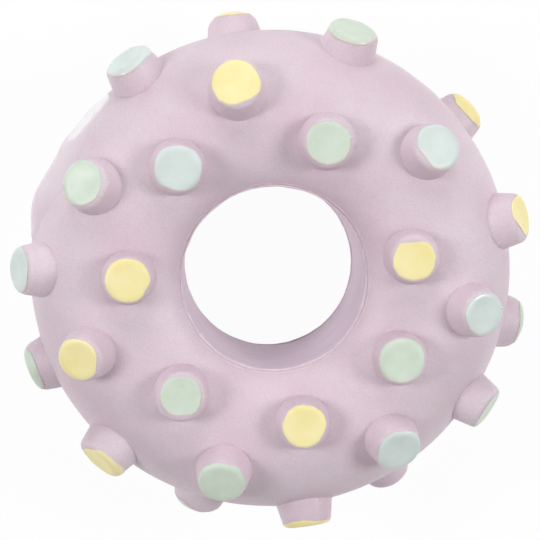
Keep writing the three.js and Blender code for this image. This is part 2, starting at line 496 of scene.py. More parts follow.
@dataclass(frozen=True)
class PaintFinish:
    """Satin paint that dried in streaks, with a thin beige border, widened at its lower side by painted
    shade.
    """

    paint: Paint
    colour: Colour
    deep: Colour
    # Beige of the thin border, and of the painted shade that widens it on the lower side.
    stain: Colour = (224, 207, 203)
    wash_per_metre: float = 300.0
    border: float = 0.985
    border_stain: float = 0.85
    stain_range: Range = (0.2, -0.9)
    stain_reach: float = 0.1
    rags_per_metre: float = 900.0
    raggedness: float = 0.02
    gloss_per_metre: float = 190.0
    gloss_range: Range = (0.55, 0.68)
    streaks_per_metre: float = 420.0
    streak_stretch: Triple = (0.6, 2.0, 1.0)
    grain_per_metre: float = 1700.0
    streak_depth: float = 0.04 * MM
    grain_depth: float = 0.02 * MM
    roughness: Range = (0.5, 0.26)

    def material(self) -> Material:
        """Builds the node material.

        Returns:
            The material.
        """
        shader = Shader(self.paint.value)
        body = shader.blend(shader.clouds(self.wash_per_metre), self.colour, self.deep)
        across, up = shader.on_sheet()
        reach = shader.math("MAXIMUM", shader.math("ABSOLUTE", across), shader.math("ABSOLUTE", up))
        # Painted shade: the border reaches further in on the dab's lower side, where shade falls.
        reach = shader.math("SUBTRACT", reach, shader.ramp(up, *self.stain_range, 0.0, -self.stain_reach))
        rags = shader.grain(self.rags_per_metre)
        rags = shader.ramp(rags, *NOISE_RANGE, -self.raggedness, self.raggedness)
        reach = shader.math("ADD", reach, rags)
        # Beige border all round, with painted shade along the lower side.
        border_and_shade = shader.ramp(reach, self.border, 1.0, 0.0, self.border_stain)
        shader.set(Base_Color=shader.blend(border_and_shade, body, self.stain))
        gloss = shader.grain(self.gloss_per_metre)
        shader.set(Roughness=shader.ramp(gloss, *self.gloss_range, *self.roughness))
        streaks = shader.grain(self.streaks_per_metre, stretch=self.streak_stretch)
        relief = shader.bump(streaks, self.streak_depth)
        grain = shader.grain(self.grain_per_metre, detail=2.0)
        shader.set(Normal=shader.bump(grain, self.grain_depth, relief))
        shader.set(Coat_Weight=0.06, Coat_Roughness=0.2)
        return shader.material


@dataclass(frozen=True)
class SmearFinish:
    """Glossy latex smeared on with a finger, with a white painted highlight and smoother gloss where it lies
    flat.
    """

    milky_spot: Matrix
    colour: Colour = (212, 191, 203)
    pale: Colour = (219, 202, 212)
    # White painted highlight where the glossy smear lies flat.
    milky: Colour = (234, 229, 234)
    milky_width: float = 2.6 * MM
    milky_length: float = 6.3 * MM
    milky_shift: Triple = (0.8 * MM, -0.6 * MM, 0.0)
    milky_tilt: float = math.radians(8)
    milky_border: Range = (1.1, 0.86)
    clouds_per_metre: float = 110.0
    ripples_per_metre: float = 520.0
    pits_per_metre: float = 800.0
    pit_size: float = 0.16
    raggedness: float = 0.32
    depth: float = 0.08 * MM
    roughness: Range = (0.2, 0.42)

    def material(self) -> Material:
        """Builds the node material.

        Returns:
            The material.
        """
        shader = Shader("clear_latex")
        body = shader.blend(shader.clouds(self.clouds_per_metre), self.colour, self.pale)
        ripple = shader.grain(self.ripples_per_metre)
        # Painted highlight: a ragged white oval over the flat spot, glossier, with pits of the body's colour
        # in it.
        strip = self.milky_spot @ Matrix.Translation(self.milky_shift)
        strip = strip @ Matrix.Rotation(self.milky_tilt, 4, "Z")
        reach = shader.from_oval(strip, self.milky_width, self.milky_length)
        rags = shader.ramp(ripple, *NOISE_RANGE, -self.raggedness, self.raggedness)
        reach = shader.math("ADD", reach, rags)
        highlight = shader.ramp(reach, *self.milky_border)
        pits = shader.spots(self.pits_per_metre, self.pit_size)
        shader.set(Base_Color=shader.blend(shader.math("SUBTRACT", highlight, pits), body, self.milky))
        shader.set(Roughness=shader.ramp(highlight, 1.0, 0.0, *self.roughness))
        shader.set(Normal=shader.bump(pits, -self.depth, shader.bump(ripple, self.depth)))
        shader.set(Coat_Weight=0.8, Coat_Roughness=0.06, Specular_IOR_Level=0.85)
        return shader.material


@dataclass(frozen=True)
class SeamFinish:
    """Glossy latex of the mould's lines, painted pale as a highlight."""

    # Pale colours that stand in for the highlight along the seams.
    colour: Colour = (229, 211, 221)
    deep: Colour = (217, 194, 207)
    grain_per_metre: float = 700.0
    roughness: Range = (0.25, 0.4)
    depth: float = 0.02 * MM

    def material(self) -> Material:
        """Builds the node material.

        Returns:
            The material.
        """
        shader = Shader("seam_latex")
        grain = shader.clouds(self.grain_per_metre)
        shader.set(Base_Color=shader.blend(grain, self.colour, self.deep))
        shader.set(Roughness=shader.ramp(grain, 0.0, 1.0, *self.roughness))
        shader.set(Normal=shader.bump(grain, self.depth))
        return shader.material


@dataclass(frozen=True)
class PlasticFinish:
    """Plain moulded plastic of the hidden squeaker."""

    name: str
    colour: Colour
    roughness: float
    clouds_per_metre: float = 500.0
    shade: float = 0.94
    gloss_spread: float = 0.2
    grain_per_metre: float = 1800.0
    depth: float = 0.01 * MM

    def material(self) -> Material:
        """Builds the node material.

        Returns:
            The material.
        """
        shader = Shader(self.name)
        cloud = shader.ramp(shader.grain(self.clouds_per_metre, detail=2.0), *NOISE_RANGE)
        deep = tuple(int(value * self.shade) for value in self.colour)
        shader.set(Base_Color=shader.blend(cloud, self.colour, deep))
        gloss = self.roughness * (1 - self.gloss_spread), self.roughness * (1 + self.gloss_spread)
        shader.set(Roughness=shader.ramp(cloud, 0.0, 1.0, *gloss))
        shader.set(Normal=shader.bump(shader.grain(self.grain_per_metre, detail=2.0), self.depth))
        return shader.material


@dataclass(frozen=True)
class WaddingFinish:
    """Loose white polyester fibre."""

    colour: Colour = (243, 241, 237)
    shade: Colour = (222, 219, 214)
    tufts_per_metre: float = 420.0
    tuft_range: Range = (0.35, 0.65)
    depth: float = 0.4 * MM

    def material(self) -> Material:
        """Builds the node material.

        Returns:
            The material.
        """
        shader = Shader("wadding")
        tufts = shader.ramp(shader.grain(self.tufts_per_metre, detail=6.0), *self.tuft_range)
        shader.set(Base_Color=shader.blend(tufts, self.shade, self.colour))
        shader.set(Normal=shader.bump(tufts, self.depth), Roughness=1.0, Sheen_Weight=0.4)
        return shader.material


@dataclass(frozen=True)
class RingSection:
    """The outline of the tube, by distance from the ring's axis and height."""

    ring_radius: float = 24 * MM
    tube_radius: float = 12.5 * MM
    hole_radius: float = 13.3 * MM
    front_crease_radius: float = 13.9 * MM
    back_crease_radius: float = 13.1 * MM
    crease_height: float = 8.8 * MM
    shoulder_length: float = 5.5 * MM
    crease_lead_out: float = 1.6 * MM
    crease_lead_up: float = 2.2 * MM
    crease_angle: float = math.radians(142)
    middle_height: float = 15.81 * MM

    def crease_radius(self, side: Side) -> float:
        """Gives the radius of the hole's edge on one face."""
        return self.front_crease_radius if side is Side.FRONT else self.back_crease_radius

    def at(self, angle: float, inset: float = 0.0) -> tuple[float, float]:
        """Finds a point of the outline.

        Args:
            angle: Angle around the tube, 0 at the rim and 90 degrees at the front.
            inset: How far the outline is drawn in.

        Returns:
            Distance from the ring's axis, and height above the floor.
        """
        signed = math.remainder(angle, 2 * math.pi)
        turn = abs(signed)
        side = Side.FRONT if signed >= 0 else Side.BACK
        tube = self.tube_radius - inset
        edge = self.crease_height - inset
        if turn <= math.pi / 2:
            place = Vector((self.ring_radius + tube * math.cos(turn), tube * math.sin(turn)))
        elif turn <= self.crease_angle:
            share = (turn - math.pi / 2) / (self.crease_angle - math.pi / 2)
            place = self.cheek(self.crease_radius(side) + inset, tube, edge, share)
        else:
            share = side.value * (math.pi - turn) / (math.pi - self.crease_angle)
            return self.wall(edge, inset, (1 - share) / 2)
        return place.x, self.middle_height + place.y * side.value

    def cheek(self, crease: float, tube: float, edge: float, share: float) -> Vector:
        """Finds a point between the tube's front and the hole's edge.

        Args:
            crease: Radius of the hole's edge.
            tube: Radius of the tube.
            edge: Height of the hole's edge.
            share: 0 on the tube's front and 1 on the hole's edge.

        Returns:
            Distance from the ring's axis, and height above its middle.
        """
        rest = 1 - share
        top = Vector((self.ring_radius, tube))
        shoulder = Vector((self.ring_radius - self.shoulder_length, tube))
        end = Vector((crease, edge))
        lead = end + Vector((self.crease_lead_out, self.crease_lead_up))
        return (top * rest ** 3 + shoulder * 3 * rest ** 2 * share
                + lead * 3 * rest * share ** 2 + end * share ** 3)

    def wall(self, edge: float, inset: float, share: float) -> tuple[float, float]:
        """Finds a point of the hole's wall.

        Args:
            edge: Height of the hole's edges from the ring's middle.
            inset: How far the outline is drawn in.
            share: 0 on the front edge and 1 on the back edge.

        Returns:
            Distance from the ring's axis, and height above the floor.
        """
        rest = 1 - share
        pull = 2 * self.hole_radius - (self.front_crease_radius + self.back_crease_radius) / 2
        out = (self.front_crease_radius * rest ** 2 + pull * 2 * rest * share
               + self.back_crease_radius * share ** 2)
        return out + inset, self.middle_height + edge * (rest - share)

    def ring(self, name: str, inset: float, points: int, steps: int) -> Piece:
        """Models the ring, drawn in by an inset, with so many points in its outline and steps around."""
        return spun(name, [self.at(2 * math.pi * number / points, inset) for number in range(points)], steps)

    def perch(self, turn: float, lean: float) -> Matrix:
        """Gives the frame of a place on the tube, with +Z out of the surface.

        Args:
            turn: Angle around the ring's axis.
            lean: Angle around the tube, 0 at the rim.

        Returns:
            The frame as a 4 by 4 matrix.
        """
        out, up = self.at(lean)
        place = Matrix.Translation((out, 0, up)) @ Matrix.Rotation(math.pi / 2 - lean, 4, "Y")
        return Matrix.Rotation(turn, 4, "Z") @ place


@dataclass(frozen=True)
class FlatSpot:
    """The place beside the filling hole where the soft skin was pressed flat."""

    section: RingSection
    turn: float = math.radians(138.5)
    lean: float = math.radians(12)
    depth: float = 0.36 * MM

    def frame(self) -> Matrix:
        """Gives the frame of the flat spot, with +Z out of the skin."""
        return self.section.perch(self.turn, self.lean) @ Matrix.Translation((0, 0, -self.depth))

    def press(self, place: Vector, lift: float = 0.0) -> Vector:
        """Moves a point that stands out of the flat spot down to it.

        Args:
            place: The point.
            lift: How far above the flat spot it may stay.

        Returns:
            The moved point.
        """
        spot = self.frame()
        out = spot.col[2].to_3d()
        over = (place - spot.translation).dot(out) - lift
        return place - out * max(0.0, over)


@dataclass(frozen=True)
class NubForm:
    """The shape that nubs are cast in, standing on the tube's surface."""

    edge: float = 0.75 * MM
    edge_steps: int = 5
    height: float = 3.36 * MM
    paint_height: float = 3.35 * MM
    tip_radius: float = 3.55 * MM
    root_radius: float = 4.2 * MM
    foot_radius: float = 4.25 * MM
    foot_depth: float = 1.4 * MM
    dish: float = 0.06 * MM
    dish_border: float = 1.42 * MM
    sides: int = 48

    def model(self) -> Piece:
        """Models one nub, upright, with its root at the origin.

        Returns:
            The nub.
        """
        nub = new_piece(bpy.ops.mesh.primitive_cylinder_add, "nub", vertices=self.sides,
                        radius=self.root_radius, depth=self.height, location=(0, 0, self.height / 2))
        with edit_mode(nub):
            pick(nub, "FACE", lambda face: face.normal.z > END_FACE)
            taper = self.tip_radius / self.root_radius
            bpy.ops.transform.resize(value=(taper, taper, 1))
            bpy.ops.mesh.bevel(offset=self.edge, segments=self.edge_steps, affect="EDGES")
            pick(nub, "FACE", lambda face: face.normal.z > END_FACE and len(face.vertices) == self.sides)
            bpy.ops.mesh.inset(thickness=self.dish_border)
            bpy.ops.transform.translate(value=(0, 0, -self.dish))
            pick(nub, "FACE", lambda face: face.normal.z < -END_FACE)
            flare = self.foot_radius / self.root_radius
            bpy.ops.mesh.extrude_region_move(TRANSFORM_OT_translate={"value": (0, 0, -self.foot_depth)})
            bpy.ops.transform.resize(value=(flare, flare, 1))
        close_up(nub)
        return nub

    def over_edge(self, reach: float) -> tuple[float, float]:
        """Follows the nub's end from its middle over the rounded edge and down the side.

        Args:
            reach: Distance along the surface.

        Returns:
            Distance from the nub's axis, and height above its end.
        """
        flat = self.tip_radius - self.edge
        if reach <= flat:
            return reach, 0.0
        bend = (reach - flat) / self.edge
        if bend <= math.pi / 2:
            return flat + self.edge * math.sin(bend), -self.edge * (1 - math.cos(bend))
        return self.tip_radius, -self.edge * (1 + bend - math.pi / 2)


@dataclass(frozen=True)
class NubPlace:
    """Where one nub stands: read from the solid of the paint on its end."""

    node: str
    slot: str
    form: NubForm
    end: Vector
    axis: Vector

    @classmethod
    def read(cls, node: str, slot: str, form: NubForm, section: RingSection) -> NubPlace:
        """Reads a nub's place from its paint disc.

        Args:
            node: The paint's node.
            slot: The record's material slot of the paint.
            form: The nub's shape.
            section: The tube that the nub stands on.

        Returns:
            The nub's place.
        """
        corners = [vertex.co for vertex in frame["nodes"][node].data.vertices]
        points = np.unique(np.round(corners, decimals=6), axis=0)
        centre = Vector(points.mean(axis=0))
        _, directions = np.linalg.eigh(np.cov((points - points.mean(axis=0)).T))
        axis = Vector(directions[:, 0]).normalized()
        flat = Vector((centre.x, centre.y, 0)).normalized() * section.ring_radius
        outward = centre - flat - Vector((0, 0, section.middle_height))
        return cls(node, slot, form, centre, axis if axis.dot(outward) > 0 else -axis)

    def matrix(self, depth: float) -> Matrix:
        """Gives the frame whose +Z is the nub's axis and whose +Y looks up the photograph.

        Args:
            depth: How far below the paint's middle the frame's origin lies.

        Returns:
            The frame as a 4 by 4 matrix.
        """
        up = Vector((0, 1, 0))
        up = (up - self.axis * up.dot(self.axis)).normalized()
        turn = Matrix((up.cross(self.axis), up, self.axis)).transposed().to_4x4()
        return Matrix.Translation(self.end - self.axis * depth) @ turn


@dataclass
class LatexSkin:
    """The cast ring with its nubs, hollow, with a filling hole in the rim."""

    section: RingSection
    flat_spot: FlatSpot
    places: list[NubPlace]
    points: int = 180
    steps: int = 240
    cavity_points: int = 60
    cavity_steps: int = 96
    wall: float = 1.6 * MM
    filler_radius: float = 6 * MM
    filler_depth: float = 3 * MM
    filler_sides: int = 48
    width_spread: float = 0.03
    unevenness: float = 0.24 * MM
    lump_size: float = 11 * MM
    dents: float = 0.07 * MM
    dent_size: float = 3.5 * MM
    seed: int = 11
    piece: Piece = field(init=False)

    def copies(self) -> list[Piece]:
        """Puts a copy of the nub in every place, each a little different, as cast ones are.

        Returns:
            The copies.
        """
        draw = random.Random(self.seed)
        models = {form: form.model() for form in dict.fromkeys(place.form for place in self.places)}
        made = []
        for place in self.places:
            copy = models[place.form].copy()
            copy.data = copy.data.copy()
            bpy.context.scene.collection.objects.link(copy)
            width = 1 + draw.uniform(-self.width_spread, self.width_spread)
            oval = 1 + draw.uniform(-self.width_spread, self.width_spread)
            wobble = Matrix.Diagonal((width, width * oval, 1, 1))
            copy.data.transform(place.matrix(place.form.paint_height) @ wobble)
            made.append(copy)
        for nub in models.values():
            bpy.data.objects.remove(nub)
        return made

    def build(self, filler: Matrix) -> None:
        """Models and dresses the skin.

        Args:
            filler: The frame of the filling hole, with +Z out of the skin.
        """
        self.piece = self.section.ring("latex_skin_cast", 0.0, self.points, self.steps)
        for vertex in self.piece.data.vertices:
            vertex.co = self.flat_spot.press(vertex.co.copy())
        copies = self.copies()
        select_only(*copies)
        bpy.ops.object.join()
        combine(self.piece, "UNION", copies[0])
        roughen(self.piece, "unevenness", self.lump_size, self.unevenness)
        roughen(self.piece, "dents", self.dent_size, self.dents)
        self.hollow(filler)
        finish_with(self.piece, "TRIANGULATE")
        crisp_shaded(self.piece)
        keep(self.piece, LatexFinish().material(), "lilac_latex", "latex_skin")

    def hollow(self, filler: Matrix) -> None:
        """Cuts the cavity and the filling hole out of the skin.

        Args:
            filler: The frame of the filling hole, with +Z out of the skin.
        """
        cavity = self.section.ring("cavity", self.wall, self.cavity_points, self.cavity_steps)
        plug = new_piece(bpy.ops.mesh.primitive_cylinder_add, "plug", vertices=self.filler_sides,
                         radius=self.filler_radius, depth=2 * self.filler_depth)
        plug.data.transform(filler)
        combine(cavity, "UNION", plug)
        combine(self.piece, "DIFFERENCE", cavity)


@dataclass(frozen=True)
class DabShape:
    """How one dab of paint lies on its nub's end, in millimetres and degrees."""

    radius: float = 3.5
    shift: Triple = (0.0, 0.0, 0.0)
    square: float = 0.15
    cut: tuple[float, float] | None = None
    drop: tuple[float, float] | None = None
    corner_share: float = 0.8
    cut_facing: float = 0.2
    cut_rounding: float = 0.7

    def reach(self, turn: float) -> float:
        """Finds how far the dab reaches from its middle.

        Args:
            turn: The direction on the nub's end.

        Returns:
            The distance along the surface, in millimetres.
        """
        power = 2 + 2 * self.square
        corner = (abs(math.cos(turn)) ** power + abs(math.sin(turn)) ** power) ** (-1 / power)
        out = self.radius * (1 + (corner - 1) * self.corner_share)
        if self.cut is None:
            return out
        angle, distance = self.cut
        facing = max(self.cut_facing, math.cos(turn - math.radians(angle)))
        return soft_least(out, distance / facing, self.cut_rounding)


DAB_SHAPES = {
    "front_inner_tip_1": DabShape(3.2, (0.0, -0.2, 0.0), 0.1, (88, 2.9)),
    "front_inner_tip_2": DabShape(3.3, (0.0, 0.0, 0.0), 0.05, drop=(12, 3.5)),
    "front_inner_tip_3": DabShape(3.5, (0.05, 0.0, 0.0), 0.45, (-110, 3.3)),
    "front_inner_tip_4": DabShape(3.45, (-0.15, -0.1, 0.0), 0.1, (-38, 3.1)),
    "front_inner_tip_5": DabShape(3.0, (-0.15, 0.1, 0.0), 0.4),
    "front_inner_tip_6": DabShape(3.35, (0.0, 0.05, 0.0), 0.05),
    "front_inner_tip_7": DabShape(3.5, (0.0, 0.2, 0.0), 0.4, (90, 3.5)),
    "front_outer_tip_1": DabShape(3.65, (0.3, 0.2, 0.0), 0.1, (215, 3.15)),
    "front_outer_tip_2": DabShape(3.7, (-0.15, 0.05, 0.0), 0.1, (-62, 3.3)),
    "front_outer_tip_3": DabShape(3.35, (-0.5, 0.1, 0.0), 0.15),
    "front_outer_tip_4": DabShape(3.3, (-0.35, -0.15, 0.0), 0.3),
    "front_outer_tip_5": DabShape(3.7, (-0.05, -0.05, 0.0), 0.05),
    "front_outer_tip_6": DabShape(3.6, (0.2, -0.35, 0.0), 0.4),
    "front_outer_tip_7": DabShape(3.4, (0.1, -0.05, 0.0), 0.0, drop=(14, 3.3)),
    "front_rim_tip_1": DabShape(3.3, (0.1, 0.3, 0.1), 0.1, (225, 2.5)),
    "front_rim_tip_2": DabShape(3.8, (-0.5, 0.2, 0.5), 0.1),
    "front_rim_tip_3": DabShape(3.9, (0.27, 0.18, 0.0), 0.1),
    "front_rim_tip_4": DabShape(3.5, (-0.4, 0.0, -0.7), 0.2),
    "front_rim_tip_5": DabShape(3.55, (0.6, -0.5, 0.4), 0.3),
    "front_rim_tip_6": DabShape(3.6, (-0.3, 0.0, 0.6), 0.2),
    "front_rim_tip_7": DabShape(3.5, (0.1, -0.3, -0.6), 0.1),
    "back_rim_tip_1": DabShape(3.2, (0.25, 0.3, 2.3), 0.3),
    "back_rim_tip_2": DabShape(2.5, (0.2, 0.0, 1.8), 0.1),
    "back_rim_tip_3": DabShape(3.3, (0.0, 0.1, 1.7), 0.2),
    "back_rim_tip_4": DabShape(2.9, (-1.2, 0.0, 0.9)),
    "back_rim_tip_5": DabShape(2.7, (0.0, 0.0, -0.2)),
    "back_rim_tip_6": DabShape(3.2, (0.0, 0.5, 1.0), 0.5),
}


@dataclass
class PaintDab:
    """A thick dab of paint on a nub's end, with an uneven outline."""

    place: NubPlace
    shape: DabShape
    seed: int
    thickness: float = 0.12 * MM
    cells: int = 20
    waviness: float = 0.11 * MM
    waves: tuple[int, ...] = (2, 3, 4, 6)
    wave_sizes: Range = (0.4, 1.0)
    raggedness: float = 0.1 * MM
    rag_count: float = 6.0
    rag_step: float = 3.7
    flow_size: float = 2.4 * MM
    flow_depth: float = 0.05 * MM
    drop_radius: float = 0.24 * MM
    drop_lump: float = 0.3 * MM
    drop_dents: float = 0.1 * MM

    def build(self, skin: Piece, material: Material) -> None:
        """Models the dab on the skin and dresses it.

        Args:
            skin: The finished skin.
            material: The paint.
        """
        dab = new_piece(bpy.ops.mesh.primitive_grid_add, f"{self.place.node}_dab",
                        x_subdivisions=self.cells, y_subdivisions=self.cells, size=2)
        self.spread(dab)
        finish_with(dab, "SHRINKWRAP", target=skin, wrap_method="NEAREST_SURFACEPOINT")
        finish_with(dab, "SMOOTH", factor=0.5, iterations=2)
        finish_with(dab, "SOLIDIFY", thickness=self.thickness, offset=0.8)
        finish_with(dab, "SUBSURF", levels=1, render_levels=1)
        roughen(dab, f"{self.place.node}_flow", self.flow_size, self.flow_depth)
        if self.shape.drop is not None:
            self.splash(dab, *self.shape.drop)
        close_up(dab)
        smooth_shaded(dab)
        keep(dab, material, self.place.slot, self.place.node)

    def splash(self, dab: Piece, angle: float, distance: float) -> None:
        """Adds a dried drop of paint beside the dab.

        Args:
            dab: The dab.
            angle: The direction of the drop on the nub's end, in degrees.
            distance: How far it lies from the middle along the surface, in millimetres.
        """
        place = self.on_end(distance * MM, math.radians(angle))
        drop = new_piece(bpy.ops.mesh.primitive_ico_sphere_add, "drop", subdivisions=3,
                         radius=self.drop_radius, location=place)
        roughen(drop, f"{self.place.node}_drop", self.drop_lump, self.drop_dents)
        select_only(dab, drop)
        bpy.ops.object.join()

    def frame(self) -> Matrix:
        """Gives the frame of the nub's end, with +Z out of it and +Y up the photograph."""
        return self.place.matrix(self.place.form.paint_height - self.place.form.height)

    def on_end(self, reach: float, turn: float) -> Vector:
        """Finds the point at a distance along the surface from the end's middle, in one direction."""
        return self.frame() @ on_circle(turn, *self.place.form.over_edge(reach))

    @staticmethod
    def rounded(right: float, up: float) -> tuple[float, float]:
        """Maps a point of a square onto a disc, ring by ring.

        Args:
            right: Place across the square, from -1 to 1.
            up: Place along the square, from -1 to 1.

        Returns:
            The share of the way from the disc's middle to its border, and the direction.
        """
        share = max(abs(right), abs(up))
        if share == 0:
            return 0.0, 0.0
        if abs(right) >= abs(up):
            turn = math.pi / 4 * up / right
            return share, turn if right > 0 else turn + math.pi
        turn = math.pi / 2 - math.pi / 4 * right / up
        return share, turn if up > 0 else turn + math.pi

    def spread(self, dab: Piece) -> None:
        """Spreads a flat square over the nub's end to its uneven round outline.

        Args:
            dab: The flat square.
        """
        draw = random.Random(self.seed)
        waves = [(count, draw.uniform(0, 2 * math.pi), draw.uniform(*self.wave_sizes))
                 for count in self.waves]
        shift = self.frame().to_3x3().transposed() @ Vector(self.shape.shift) * MM
        for vertex in dab.data.vertices:
            share, turn = self.rounded(vertex.co.x, vertex.co.y)
            wave = sum(size * math.cos(count * turn + phase) / math.sqrt(count)
                       for count, phase, size in waves)
            rag = noise.noise(on_circle(turn, self.rag_count, self.rag_step * self.seed))
            border = self.shape.reach(turn) * MM + self.waviness * wave + self.raggedness * rag
            border += shift.x * math.cos(turn) + shift.y * math.sin(turn)
            vertex.co = self.on_end(border * share, turn)


@dataclass(frozen=True)
class Lump:
    """A thick place in the smear, in degrees and millimetres."""

    turn: float
    lean: float
    spread: float
    height: float


@dataclass
class FillerPatch:
    """The smear of latex that seals the filling hole."""

    section: RingSection
    flat_spot: FlatSpot
    turn: float = math.radians(150)
    lean: float = math.radians(-13)
    smear_turn: float = math.radians(151.5)
    smear_lean: float = math.radians(-10)
    half_length: float = 15.0 * MM
    half_width: float = 11 * MM
    cells: tuple[int, int] = (110, 80)
    raggedness: float = 0.2
    rag_count: float = 2.4
    film: float = 0.25 * MM
    fade_power: int = 6
    border: float = 0.3
    sink: float = 0.4 * MM
    thickness: float = 0.6 * MM
    lumps: tuple[Lump, ...] = (
        Lump(147.5, 6, 1.7, 0.4),
        Lump(163.0, 2, 4.2, 0.95),
        Lump(171.5, 8, 0.9, 0.7),
        Lump(169.5, 16, 0.7, 0.45),
        Lump(152.0, -25, 5.0, 0.35),
    )
    seed: int = 5

    def __post_init__(self) -> None:
        """Works out the rim's radius."""
        self.rim = self.section.ring_radius + self.section.tube_radius

    def frame(self) -> Matrix:
        """Gives the frame of the filling hole, with +Z out of the skin."""
        return self.section.perch(self.turn, self.lean)

    def sunk(self, reach: float) -> float:
        """Finds how far the smear's border sinks, with reach 0 in its middle and 1 on its border."""
        return self.sink * max(0.0, (reach - 1 + self.border) / self.border) ** 2

    def height(self, turn: float, lean: float, reach: float) -> float:
        """Finds how far the smear stands out of the skin.

        Args:
            turn: Angle around the ring's axis.
            lean: Angle around the tube.
            reach: 0 in the smear's middle and 1 on its border.

        Returns:
            The height, below 0 where the border sinks into the skin.
        """
        fade = max(0.0, 1 - reach ** self.fade_power)
        total = self.film * fade - self.sunk(reach)
        for lump in self.lumps:
            along = (turn - math.radians(lump.turn)) * self.rim
            across = (lean - math.radians(lump.lean)) * self.section.tube_radius
            total += lump.height * MM * fade * math.exp(-(along ** 2 + across ** 2) / (lump.spread * MM) ** 2)
        return total

    def build(self) -> None:
        """Models the smear over the filling hole and dresses it."""
        patch = new_piece(bpy.ops.mesh.primitive_grid_add, "filler_patch_smear",
                          x_subdivisions=self.cells[0], y_subdivisions=self.cells[1], size=2)
        outside = set()
        for vertex in patch.data.vertices:
            along, across = vertex.co.x, vertex.co.y
            rag = noise.noise(Vector((self.rag_count * along, self.rag_count * across, self.seed)))
            reach = math.hypot(along, across) / (1 + self.raggedness * rag)
            if reach > 1:
                outside.add(vertex.index)
            turn = self.smear_turn + along * self.half_length / self.rim
            lean = self.smear_lean + across * self.half_width / self.section.tube_radius
            place = on_circle(turn, *self.section.at(lean, -self.height(turn, lean, reach)))
            vertex.co = self.flat_spot.press(place, self.film - self.sunk(reach))
        with edit_mode(patch):
            pick(patch, "VERT", lambda vertex: vertex.index in outside)
            bpy.ops.mesh.delete(type="VERT")
        finish_with(patch, "SMOOTH", factor=0.5, iterations=3)
        finish_with(patch, "SOLIDIFY", thickness=self.thickness, offset=-1.0)
        close_up(patch)
        smooth_shaded(patch)
        keep(patch, SmearFinish(self.flat_spot.frame()).material(), "clear_latex", "filler_patch")


@dataclass
class CastingSeam:
    """A thin raised line of the casting along the hole's edge."""

    section: RingSection
    side: Side
    half_width: float
    outward: float = 0.0
    lift: float = 0.0
    steps: tuple[int, int] = (360, 10)
    wander: float = 0.1 * MM
    wander_count: float = 3.0
    wander_slope: float = 0.5
    pinch: float = 0.4
    pinch_count: float = 9.0
    nick_height: float = 0.0
    nick_turn: float = math.radians(218)
    nick_width: float = math.radians(1.4)
    seed: int = 3

    def build(self, name: str, material: Material) -> None:
        """Models the seam and dresses it.

        Args:
            name: The new piece's name.
            material: The seam latex, painted pale as a highlight.
        """
        height = self.section.middle_height + self.side.value * (self.section.crease_height + self.lift)
        radius = self.section.crease_radius(self.side) + self.outward
        seam = new_piece(bpy.ops.mesh.primitive_torus_add, name, location=(0, 0, height),
                         major_radius=radius, minor_radius=self.half_width,
                         major_segments=self.steps[0], minor_segments=self.steps[1])
        for vertex in seam.data.vertices:
            turn = math.atan2(vertex.co.y, vertex.co.x)
            ring = on_circle(turn, radius, height)
            drift = noise.noise(on_circle(turn, self.wander_count, self.seed))
            pinch = noise.noise(on_circle(turn, self.pinch_count, self.seed + 1))
            away = math.remainder(turn - self.nick_turn, 2 * math.pi) / self.nick_width
            nick = self.nick_height / self.half_width * math.exp(-away ** 2)
            thick = (vertex.co - ring) * (1 + self.pinch * pinch + nick)
            out = on_circle(turn, 1, self.wander_slope * self.side.value)
            vertex.co = ring + thick + out * self.wander * drift
        smooth_shaded(seam)
        keep(seam, material, "lilac_latex")


